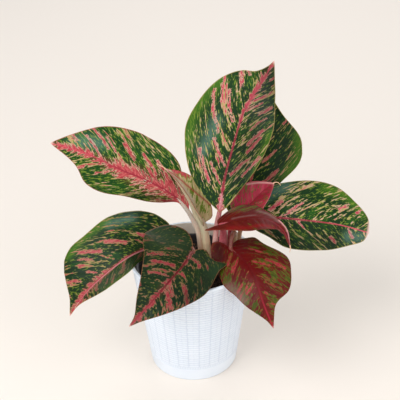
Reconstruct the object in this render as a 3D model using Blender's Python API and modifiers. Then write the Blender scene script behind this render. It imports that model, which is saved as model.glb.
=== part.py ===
"""A potted chinese evergreen (Aglaonema): ten leaves on two canes, in a nursery pot inside an outer pot."""

import bmesh
import bpy
import numpy as np

MM = 0.001
OBJECT_NAME = "potted_chinese_evergreen"

# The outer pot, a tapered cachepot standing on z = 0.
POT_HEIGHT = 162 * MM
POT_TOP_RADIUS = 80 * MM
POT_FOOT_RADIUS = 57.5 * MM
POT_WALL = 3 * MM
POT_FLOOR = 4 * MM
POT_LIP = 1 * MM
POT_LIP_HEIGHT = 4 * MM
POT_SIDES = 64

# The grower's pot that stands inside it.
NURSERY_HEIGHT = 143 * MM
NURSERY_TOP_RADIUS = 72.5 * MM
NURSERY_FOOT_RADIUS = 52 * MM
NURSERY_WALL = 1.4 * MM
NURSERY_RIM = 2 * MM
NURSERY_RIM_HEIGHT = 7 * MM
DRAIN_HOLES = 6
DRAIN_RADIUS = 4 * MM
DRAIN_RING_RADIUS = 34 * MM
NURSERY_SIDES = 48

# The potting mix fills the nursery pot to a little under its rim.
SOIL_TOP = 139 * MM
SOIL_EDGE_DROP = 3 * MM
SOIL_BUMP = 1.6 * MM
SOIL_RINGS = 7
SOIL_SIDES = 40

# Two short canes stand in the mix, and every stalk leaves one of them.
CANE_RADIUS = 4.6 * MM
CANE_HEIGHT = 14 * MM
CANE_DEPTH = 40 * MM
CANE_TAPER = 0.8
CANES = {"cane_left": (22, 25), "cane_right": (51, 26)}

GAP = 0.35 * MM
LEAF_THICKNESS = 0.9 * MM
LEAF_ROWS = 18
LEAF_COLUMNS = 4
STALK_STEP = 9 * MM

# Each leaf, in millimetres and degrees. rib: points along the midrib, from the base to the tip.
# faces: the way the upper side faces, from base to tip. left and right: the margin on each side, seen from
# above with the tip ahead, as (distance along the midrib, distance out from it). fold: how far each side is
# tilted up about the midrib, left then right. curl: how much further each side has turned at its margin.
LEAVES = {
    "left_upper": {
        "rib": [
            (-2, 24, 212), (-15, 24, 232), (-46, 18, 260),
            (-86, 14, 284), (-126, 13, 308), (-170, 20, 320),
        ],
        "faces": [(-0.05, -0.8, 0.6), (-0.15, -0.78, 0.62)],
        "left": [(20, 3), (39, 18), (57, 26), (92, 31), (122, 40), (145, 36), (169, 19)],
        "right": [
            (15, 10), (36, 27), (49, 39), (70, 47), (100, 52),
            (128, 49), (150, 41), (174, 24), (200, 5),
        ],
        "fold": (-22, 0),
        "curl": (-8, -6),
        "look": "green",
    },
    "top": {
        "rib": [(37, 0, 226), (43, 16, 261), (54, 31, 299), (70, 46, 346), (91, 57, 377), (107, 64, 404)],
        "faces": [(-0.05, -0.86, 0.5), (-0.1, -0.88, 0.45)],
        "left": [(16, 20), (46, 47), (92, 64), (125, 57), (161, 39), (174, 28), (182, 13), (195, 3)],
        "right": [(10, 10), (50, 32), (88, 43), (120, 46), (146, 40), (168, 26), (190, 10)],
        "fold": (4, 24),
        "curl": (-12, -6),
        "look": "green",
    },
    "back": {
        "rib": [(62, 40, 186), (76, 62, 222), (90, 84, 262), (99, 106, 299), (104, 122, 335)],
        "faces": [(0, -0.8, 0.6), (0, -0.8, 0.6)],
        "left": [(12, 20), (50, 42), (90, 50), (130, 36), (155, 14)],
        "right": [(14, 16), (40, 28), (64, 38), (97, 56), (121, 51), (148, 22)],
        "fold": (6, 6),
        "curl": (-8, -16),
        "look": "green",
    },
    "right": {
        "rib": [(71, 34, 197), (105, 22, 203), (145, 12, 204), (191, 8, 198), (230, 14, 181)],
        "faces": [(0, -0.7, 0.7), (0.15, -0.7, 0.7)],
        "left": [(6, 14), (20, 34), (44, 47), (80, 54), (115, 50), (140, 36), (164, 17)],
        "right": [(13, 16), (33, 26), (56, 37), (90, 38), (120, 33), (146, 22), (163, 12)],
        "fold": (2, -14),
        "curl": (-10, -8),
        "look": "green",
    },
    "left_lower": {
        "rib": [
            (-25, 4, 180), (-50, -10, 184), (-78, -32, 185),
            (-107, -47, 170), (-133, -55, 147), (-156, -58, 112),
        ],
        "faces": [(-0.1, -0.72, 0.68), (-0.25, -0.75, 0.6)],
        "left": [(10, 12), (43, 19), (80, 24), (117, 23), (135, 16), (158, 3)],
        "right": [(-5, 24), (14, 45), (42, 59), (96, 59), (119, 58), (136, 49), (146, 34), (161, 13)],
        "fold": (-56, -4),
        "curl": (-6, -10),
        "look": "green",
    },
    "front_left": {
        "rib": [(2, -18, 181), (-9, -44, 179), (-31, -80, 174), (-55, -108, 161), (-77, -120, 142)],
        "faces": [(-0.1, -0.6, 0.8), (-0.12, -0.7, 0.7), (-0.2, -0.85, 0.5)],
        "left": [(-7, 13), (8, 32), (8, 49), (20, 44), (56, 46), (82, 35), (103, 22), (124, 8)],
        "right": [
            (-12, 6), (-22, 20), (-17, 40), (-3, 53), (18, 62),
            (44, 59), (62, 45), (80, 34), (107, 19), (127, 4),
        ],
        "fold": (8, 24),
        "curl": (-8, -10),
        "look": "green",
    },
    "front_right": {
        "rib": [(48, -14, 183), (64, -42, 184), (78, -76, 176), (87, -99, 156), (99, -108, 125)],
        "faces": [(0, -0.45, 0.9), (0, -0.7, 0.7), (0.1, -0.9, 0.4)],
        "left": [(-3, 16), (8, 32), (28, 34), (59, 49), (82, 42), (97, 33), (108, 14), (125, 5)],
        "right": [
            (-12, 1), (-26, 7), (-22, 15), (-4, 26), (25, 34),
            (54, 38), (90, 26), (108, 14), (124, 4),
        ],
        "fold": (0, -8),
        "curl": (-6, -8),
        "look": "red",
    },
    "small_right": {
        "rib": [(34, -26, 224), (60, -34, 237), (92, -46, 245), (112, -56, 235), (121, -62, 214)],
        "faces": [(0, -0.2, 0.98), (0.1, -0.2, 0.95), (0.7, -0.4, 0.4)],
        "left": [(-4, 14), (6, 26), (20, 34), (45, 29), (62, 16), (78, 9), (105, 4)],
        "right": [(-8, 1), (-19, 2), (-12, 7), (4, 13), (34, 22), (60, 26), (78, 15), (88, 4), (106, 3)],
        "fold": (-4, 14),
        "curl": (-12, -20),
        "look": "red",
    },
    "young_pink": {
        "rib": [(59, 5, 213), (75, 12, 229), (91, 18, 244), (107, 25, 253)],
        "faces": [(-0.2, -0.8, 0.55), (-0.2, -0.8, 0.55)],
        "left": [(8, 18), (24, 26), (42, 21), (54, 11)],
        "right": [(10, 14), (28, 24), (46, 20), (56, 11)],
        "fold": (10, 42),
        "curl": (0, 0),
        "look": "young",
    },
    "young_rolled": {
        "rib": [(16, 13, 201), (5, 17, 228), (-5, 18, 247), (-18, 19, 267), (-31, 21, 280)],
        "faces": [(0.6, -0.45, 0.6), (0.6, -0.45, 0.6)],
        "left": [(3, 14), (14, 21), (28, 15), (42, 8), (76, 3)],
        "right": [(3, 14), (30, 20), (64, 17), (86, 4)],
        "fold": (25, 30),
        "curl": (50, 30),
        "look": "cream",
    },
}

# Each stalk, in millimetres: points from the mix up to the leaf's base, and its radius at foot and top.
STALKS = {
    "left_upper": {
        "path": [(13, 19, 143), (12, 21, 165), (9, 23, 184), (4, 24, 198), (-2, 24, 211)],
        "radii": (3.8, 3.2),
    },
    "top": {
        "path": [(34, 11, 143), (31, 10, 165), (32, 9, 190), (34, 6, 209), (37, 0, 225)],
        "radii": (4, 3.2),
    },
    "back": {
        "path": [(41, 22, 143), (46, 30, 160), (54, 38, 174), (61, 40, 184)],
        "radii": (3.5, 3),
    },
    "right": {
        "path": [(60, 15, 143), (61, 20, 160), (65, 28, 182), (70, 33, 195)],
        "radii": (3.5, 2.8),
    },
    "left_lower": {
        "path": [(8, 8, 143), (4, 9, 156), (-3, 8, 172), (-12, 6, 179), (-24, 4, 180)],
        "radii": (3.5, 2.8),
    },
    "front_left": {
        "path": [(18, -2, 143), (16, -5, 158), (10, -12, 173), (4, -17, 178)],
        "radii": (3.5, 2.6),
    },
    "front_right": {
        "path": [(51, 4, 143), (55, 6, 175), (56, 3, 192), (53, -6, 196), (49, -13, 188)],
        "radii": (4.4, 2.8),
    },
    "small_right": {
        "path": [(42, 9, 143), (41, 8, 176), (41, -4, 202), (36, -23, 219)],
        "radii": (4.2, 3.4),
    },
    "young_pink": {
        "path": [(50, 15, 143), (50, 15, 170), (51, 9, 196), (58, 5, 211)],
        "radii": (3.5, 2.6),
    },
    "young_rolled": {
        "path": [(24, 12, 143), (20, 12, 168), (18, 12, 187), (16, 13, 199)],
        "radii": (4.2, 5.5),
    },
}

# Colour, roughness and metallic value of each material.
LOOKS = {
    "pot_white": ((0.77, 0.83, 0.9), 0.42, 0.0),
    "nursery_black": ((0.02, 0.02, 0.022), 0.5, 0.0),
    "potting_mix": ((0.03, 0.02, 0.015), 0.95, 0.0),
    "cane": ((0.32, 0.26, 0.14), 0.6, 0.0),
    "stalk_cream": ((0.5, 0.3, 0.2), 0.4, 0.0),
    "stalk_pink": ((0.45, 0.09, 0.12), 0.4, 0.0),
    "leaf_green": ((0.02, 0.085, 0.02), 0.35, 0.0),
    "leaf_red": ((0.14, 0.012, 0.015), 0.35, 0.0),
    "leaf_young": ((0.4, 0.05, 0.07), 0.35, 0.0),
    "leaf_cream": ((0.42, 0.36, 0.2), 0.35, 0.0),
}
PINK_STALKS = {"top", "small_right", "front_right", "young_pink"}


def clear_scene():
    for item in list(bpy.data.objects):
        bpy.data.objects.remove(item, do_unlink=True)


def collection(name):
    made = bpy.data.collections.new(name)
    bpy.context.scene.collection.children.link(made)
    return made


def material(name):
    if name in bpy.data.materials:
        return bpy.data.materials[name]
    colour, roughness, metallic = LOOKS[name]
    made = bpy.data.materials.new(name)
    made.use_nodes = True
    shader = made.node_tree.nodes["Principled BSDF"]
    shader.inputs["Base Color"].default_value = (*colour, 1)
    shader.inputs["Roughness"].default_value = roughness
    shader.inputs["Metallic"].default_value = metallic
    made.diffuse_color = (*colour, 1)
    return made


def add_object(name, data, group, look=None):
    made = bpy.data.objects.new(name, data)
    group.objects.link(made)
    if look:
        data.materials.append(material(look))
    return made


def move_to(made, group):
    for holder in list(made.users_collection):
        holder.objects.unlink(made)
    group.objects.link(made)


def upright(name, radii, bottom, top, place, sides, group):
    """A straight upright cylinder or cone, with its radii given from the bottom up."""
    bpy.ops.mesh.primitive_cone_add(
        vertices=sides,
        radius1=radii[0],
        radius2=radii[1],
        depth=top - bottom,
        location=(place[0], place[1], (bottom + top) / 2),
    )
    made = bpy.context.object
    made.name = name
    move_to(made, group)
    return made


def cut(body, cutter):
    cutter.hide_render = True
    cutter.display_type = "WIRE"
    hole = body.modifiers.new(cutter.name, "BOOLEAN")
    hole.operation = "DIFFERENCE"
    hole.solver = "EXACT"
    hole.object = cutter


def turned(name, profile, sides, group, look):
    """A turned solid. profile holds (radius, height) points, from the axis inside to the axis below."""
    mesh = bpy.data.meshes.new(name)
    points = [(radius, 0, height) for radius, height in profile]
    mesh.from_pydata(points, [(i, i + 1) for i in range(len(profile) - 1)], [])
    made = add_object(name, mesh, group, look)
    screw = made.modifiers.new("turn", "SCREW")
    screw.axis = "Z"
    screw.steps = screw.render_steps = sides
    screw.use_merge_vertices = True
    screw.merge_threshold = 0.00001
    return made


def radius_at(foot, top, height, full):
    return foot + (top - foot) * height / full


def build_pot(group):
    def outside(height):
        return radius_at(POT_FOOT_RADIUS, POT_TOP_RADIUS - POT_LIP, height, POT_HEIGHT)

    under_lip = POT_HEIGHT - POT_LIP_HEIGHT
    inner_foot = outside(POT_FLOOR) - POT_WALL
    turned(
        "pot",
        [
            (0, POT_FLOOR),
            (inner_foot, POT_FLOOR),
            (outside(POT_HEIGHT) - POT_WALL, POT_HEIGHT - POT_LIP),
            (outside(POT_HEIGHT) - POT_WALL + POT_LIP, POT_HEIGHT),
            (POT_TOP_RADIUS - POT_LIP, POT_HEIGHT),
            (POT_TOP_RADIUS, POT_HEIGHT - POT_LIP),
            (POT_TOP_RADIUS, under_lip + POT_LIP),
            (outside(under_lip), under_lip),
            (outside(POT_LIP), POT_LIP),
            (POT_FOOT_RADIUS - POT_LIP, 0),
            (0, 0),
        ],
        POT_SIDES,
        group,
        "pot_white",
    )


def build_nursery_pot(group, cutters):
    floor = POT_FLOOR + GAP
    top = floor + NURSERY_HEIGHT
    under_rim = top - NURSERY_RIM_HEIGHT
    wall_top = NURSERY_TOP_RADIUS - NURSERY_RIM
    body = turned(
        "nursery_pot",
        [
            (0, floor + NURSERY_WALL),
            (NURSERY_FOOT_RADIUS - NURSERY_WALL, floor + NURSERY_WALL),
            (wall_top - NURSERY_WALL, top),
            (NURSERY_TOP_RADIUS, top),
            (NURSERY_TOP_RADIUS, under_rim),
            (wall_top, under_rim),
            (NURSERY_FOOT_RADIUS, floor),
            (0, floor),
        ],
        NURSERY_SIDES,
        group,
        "nursery_black",
    )
    for index in range(DRAIN_HOLES):
        angle = 2 * np.pi * index / DRAIN_HOLES
        place = (DRAIN_RING_RADIUS * np.cos(angle), DRAIN_RING_RADIUS * np.sin(angle))
        reach = 2 * NURSERY_WALL
        radii = (DRAIN_RADIUS, DRAIN_RADIUS)
        cut(body, upright(f"drain_cutter_{index}", radii, floor - reach, floor + reach, place, 12, cutters))


def soil_height(x, y):
    """The mix's surface: nearly level, lower at the edge, with a few shallow humps."""
    edge = (x * x + y * y) / NURSERY_TOP_RADIUS**2
    humps = np.sin(95 * x + 1.3) * np.cos(80 * y - 0.4) + 0.5 * np.sin(170 * (x + y))
    return SOIL_TOP - SOIL_EDGE_DROP * edge + SOIL_BUMP * humps * (1 - edge)


def build_soil(group, cutters):
    floor = POT_FLOOR + 2 * GAP + NURSERY_WALL
    inside_foot = NURSERY_FOOT_RADIUS - NURSERY_WALL - GAP
    inside_top = NURSERY_TOP_RADIUS - NURSERY_RIM - NURSERY_WALL - GAP
    depth = SOIL_TOP - SOIL_EDGE_DROP - floor
    radius = radius_at(inside_foot, inside_top, depth, NURSERY_HEIGHT - NURSERY_WALL)
    profile = [(0, SOIL_TOP)]
    profile += [(radius * ring / SOIL_RINGS, SOIL_TOP) for ring in range(1, SOIL_RINGS + 1)]
    profile += [(inside_foot, floor), (0, floor)]
    body = turned("soil", profile, SOIL_SIDES, group, "potting_mix")
    solid = baked(body)
    for vertex in solid.data.vertices:
        if vertex.co.z > floor + GAP:
            vertex.co.z = soil_height(vertex.co.x, vertex.co.y)
    radii = (CANE_RADIUS + GAP, CANE_RADIUS + GAP)
    bottom = SOIL_TOP - CANE_DEPTH - GAP
    for name, place in CANES.items():
        place = (place[0] * MM, place[1] * MM)
        cut(solid, upright(f"{name}_cutter", radii, bottom, SOIL_TOP + CANE_HEIGHT, place, 16, cutters))


def baked(source):
    """The object as a plain mesh object that carries its evaluated shape."""
    graph = bpy.context.evaluated_depsgraph_get()
    graph.update()
    mesh = bpy.data.meshes.new_from_object(source.evaluated_get(graph))
    clean = bmesh.new()
    clean.from_mesh(mesh)
    bmesh.ops.remove_doubles(clean, verts=clean.verts, dist=0.00001)
    bmesh.ops.recalc_face_normals(clean, faces=clean.faces)
    clean.to_mesh(mesh)
    clean.free()
    name = source.name
    group = source.users_collection[0]
    place = source.matrix_world.copy()
    bpy.data.objects.remove(source, do_unlink=True)
    made = add_object(name, mesh, group)
    made.matrix_world = place
    return made


def smooth(points, count):
    """count points, evenly spaced along a smooth curve that passes through the given ones."""
    knots = np.asarray(points, float)
    knots = np.vstack([2 * knots[0] - knots[1], knots, 2 * knots[-1] - knots[-2]])
    times = np.concatenate([[0], np.cumsum(np.sqrt(np.linalg.norm(np.diff(knots, axis=0), axis=1)))])
    fine = []
    for i in range(1, len(knots) - 2):
        t = np.linspace(times[i], times[i + 1], 24, endpoint=False)[:, None]

        def between(low, high, before, after):
            return ((times[high] - t) * before + (t - times[low]) * after) / (times[high] - times[low])

        first = between(i - 1, i, knots[i - 1], knots[i])
        second = between(i, i + 1, knots[i], knots[i + 1])
        third = between(i + 1, i + 2, knots[i + 1], knots[i + 2])
        lower = between(i - 1, i + 1, first, second)
        upper = between(i, i + 2, second, third)
        fine.append(between(i, i + 1, lower, upper))
    fine = np.vstack([*fine, knots[-2:-1]])
    length = np.concatenate([[0], np.cumsum(np.linalg.norm(np.diff(fine, axis=0), axis=1))])
    wanted = np.linspace(0, length[-1], count)
    return np.stack([np.interp(wanted, length, fine[:, axis]) for axis in range(fine.shape[1])], axis=-1)


class Leaf:
    """The surface of a leaf, measured by distance along its midrib and distance out from it."""

    def __init__(self, leaf):
        self.rib = smooth(np.array(leaf["rib"]) * MM, 65)
        self.length = np.linalg.norm(np.diff(self.rib, axis=0), axis=1).sum()
        self.faces = np.array(leaf["faces"], float)
        self.margins = [np.array([(0, 0), *leaf[side]]) * MM for side in ("left", "right")]
        self.fold = np.radians(leaf["fold"])
        self.curl = np.radians(leaf["curl"])

    def frame(self, along):
        """The midrib's point, the upper side's direction and the right-hand direction at this distance."""
        share = np.clip(along / self.length, 0, 1)
        step = share * (len(self.rib) - 1)
        low = np.minimum(step.astype(int), len(self.rib) - 2)
        part = (step - low)[:, None]
        run = np.gradient(self.rib, axis=0)
        run = run[low] * (1 - part) + run[low + 1] * part
        run /= np.linalg.norm(run, axis=1)[:, None]
        point = self.rib[low] * (1 - part) + self.rib[low + 1] * part
        point = point + run * (along - share * self.length)[:, None]
        step = share * (len(self.faces) - 1)
        low = np.minimum(step.astype(int), len(self.faces) - 2)
        part = (step - low)[:, None]
        up = self.faces[low] * (1 - part) + self.faces[low + 1] * part
        up -= (up * run).sum(axis=1)[:, None] * run
        up /= np.linalg.norm(up, axis=1)[:, None]
        return point, up, np.cross(run, up)

    def surface(self, along, out, side):
        """Points of the leaf at these distances, on its left (side 0) or its right (side 1)."""
        point, up, right = self.frame(along)
        sign = 1 if side else -1
        reach = self.margins[side][:, 1].max()
        tilt = self.fold[side] + self.curl[side] * out / (2 * reach)
        return point + (sign * out * np.cos(tilt))[:, None] * right + (out * np.sin(tilt))[:, None] * up

    def half(self, side, rows, columns):
        """A grid of points from the midrib (column 0) to one margin."""
        margin = smooth([*self.margins[side], (self.length, 0)], rows + 1)
        start = np.linspace(0, self.length, rows + 1)
        grid = []
        for share in np.linspace(0, 1, columns + 1):
            along = start + share * (margin[:, 0] - start)
            grid.append(self.surface(along, share * margin[:, 1], side))
        return grid


def build_blade(name, leaf, group):
    """A blade: a grid bent to the leaf's surface, closed at base and tip, and thickened."""
    shape = Leaf(leaf)
    left = shape.half(0, LEAF_ROWS, LEAF_COLUMNS)
    right = shape.half(1, LEAF_ROWS, LEAF_COLUMNS)
    columns = [*left[:0:-1], *right]
    mesh = bpy.data.meshes.new(name)
    grid = bmesh.new()
    bmesh.ops.create_grid(grid, x_segments=LEAF_ROWS, y_segments=2 * LEAF_COLUMNS, size=0.5)
    for vertex in grid.verts:
        row = round((vertex.co.x + 0.5) * LEAF_ROWS)
        column = round((0.5 - vertex.co.y) * 2 * LEAF_COLUMNS)
        vertex.co = columns[column][row]
    bmesh.ops.remove_doubles(grid, verts=grid.verts, dist=0.00005)
    grid.to_mesh(mesh)
    grid.free()
    made = add_object(name, mesh, group, f"leaf_{leaf['look']}")
    thickness = made.modifiers.new("thickness", "SOLIDIFY")
    thickness.thickness = LEAF_THICKNESS
    thickness.offset = 0
    return made


def tube(name, path, radii, group, look):
    """A round stalk along a smooth path, with closed ends."""
    points = np.array(path) * MM
    length = np.linalg.norm(np.diff(points, axis=0), axis=1).sum()
    count = max(4, round(length / STALK_STEP) + 1)
    curve = bpy.data.curves.new(name, "CURVE")
    curve.dimensions = "3D"
    curve.bevel_depth = 1
    curve.bevel_resolution = 2
    curve.use_fill_caps = True
    spline = curve.splines.new("POLY")
    spline.points.add(count - 1)
    for share, point, place in zip(np.linspace(0, 1, count), spline.points, smooth(points, count)):
        point.co = (*place, 1)
        point.radius = (radii[0] + (radii[1] - radii[0]) * share) * MM
    return add_object(name, curve, group, look)


def build_cane(name, place, group):
    """A short upright stump with its foot in the mix, a little narrower at the top."""
    place = (place[0] * MM, place[1] * MM)
    radii = (CANE_RADIUS, CANE_RADIUS * CANE_TAPER)
    made = upright(name, radii, SOIL_TOP - CANE_DEPTH, SOIL_TOP + CANE_HEIGHT, place, 16, group)
    made.data.materials.append(material("cane"))


def main():
    clear_scene()
    group = collection(OBJECT_NAME)
    cutters = collection("cutters")
    build_pot(group)
    build_nursery_pot(group, cutters)
    build_soil(group, cutters)
    for name, place in CANES.items():
        build_cane(name, place, group)
    for name, leaf in LEAVES.items():
        build_blade(f"leaf_{name}", leaf, group)
    for name, stalk in STALKS.items():
        look = "stalk_pink" if name in PINK_STALKS else "stalk_cream"
        tube(f"stalk_{name}", stalk["path"], stalk["radii"], group, look)


main()
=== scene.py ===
"""Looks of the potted chinese evergreen: a woven-look pot, its mix, the stalks and the variegated leaves."""

import math

import bmesh
import bpy
import numpy as np
from mathutils import Matrix, Vector


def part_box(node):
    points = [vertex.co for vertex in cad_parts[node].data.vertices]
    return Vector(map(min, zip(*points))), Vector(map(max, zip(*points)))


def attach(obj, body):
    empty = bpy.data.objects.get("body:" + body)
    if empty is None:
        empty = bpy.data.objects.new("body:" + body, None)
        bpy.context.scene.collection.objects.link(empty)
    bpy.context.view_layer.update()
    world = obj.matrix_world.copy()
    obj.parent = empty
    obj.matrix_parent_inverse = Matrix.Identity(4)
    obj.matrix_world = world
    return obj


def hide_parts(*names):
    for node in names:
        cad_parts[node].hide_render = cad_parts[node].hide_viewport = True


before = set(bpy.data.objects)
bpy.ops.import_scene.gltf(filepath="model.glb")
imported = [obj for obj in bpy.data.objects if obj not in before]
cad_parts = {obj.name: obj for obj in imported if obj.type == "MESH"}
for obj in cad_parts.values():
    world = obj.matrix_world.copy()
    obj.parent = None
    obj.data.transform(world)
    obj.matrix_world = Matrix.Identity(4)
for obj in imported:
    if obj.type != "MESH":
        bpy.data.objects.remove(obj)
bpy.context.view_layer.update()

MM = 0.001
BODY = "root"

# The viewing angle: degrees above the floor and of roll, then the distance and the point looked at.
VIEW_HEIGHT = 31.9
VIEW_ROLL = -1.25
VIEW_DISTANCE = 1.3
VIEW_TARGET = (0.0125, 0, 0.2453)
LENS = 93.69
FLOOR_HALF = 4.0

# The pots and the mix, as in the frame.
POT_HEIGHT = 162 * MM
POT_TOP_RADIUS = 80 * MM
POT_FOOT_RADIUS = 57.5 * MM
POT_WALL = 3 * MM
POT_FLOOR = 4 * MM
POT_LIP = 1 * MM
WEAVE_BOTTOM = 20 * MM
WEAVE_TOP = 156.5 * MM
WEAVE_COLUMNS = 28
WEAVE_ROWS = 34
WEAVE_DEPTH = 1.0 * MM
NURSERY_FLOOR = 4.35 * MM
NURSERY_HEIGHT = 143 * MM
NURSERY_TOP_RADIUS = 72.5 * MM
NURSERY_FOOT_RADIUS = 52 * MM
NURSERY_WALL = 1.4 * MM
NURSERY_RIM = 2 * MM
NURSERY_RIM_HEIGHT = 7 * MM
SOIL_TOP = 139 * MM
SOIL_EDGE_DROP = 3 * MM
SOIL_RADIUS = 67.2 * MM
SOIL_BOTTOM = 6.2
CRUMBS = 1500
CANES = {"cane_left": (22, 25), "cane_right": (51, 26)}
CANE_BOTTOM = 128 * MM
CANE_RINGS = 46

BLADE_THICKNESS = 0.55 * MM
VEIN_SPACING = 9.5 * MM
VEIN_DEPTH = 0.5 * MM
RIB_DEPTH = 0.5 * MM
MARGIN_WAVE = 0.9 * MM
SIDE_WAVE = 0.8 * MM
ROLL_RISE = 1.6 * MM
TIP_TAPER = 18 * MM
CREASE_START = 40 * MM
CREASE_DEPTH = 3.2 * MM
BOX_GAP = 0.02 * MM
BLADE_ROWS = 120
BLADE_COLUMNS = 26
UV_SIZE = 0.25

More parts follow.
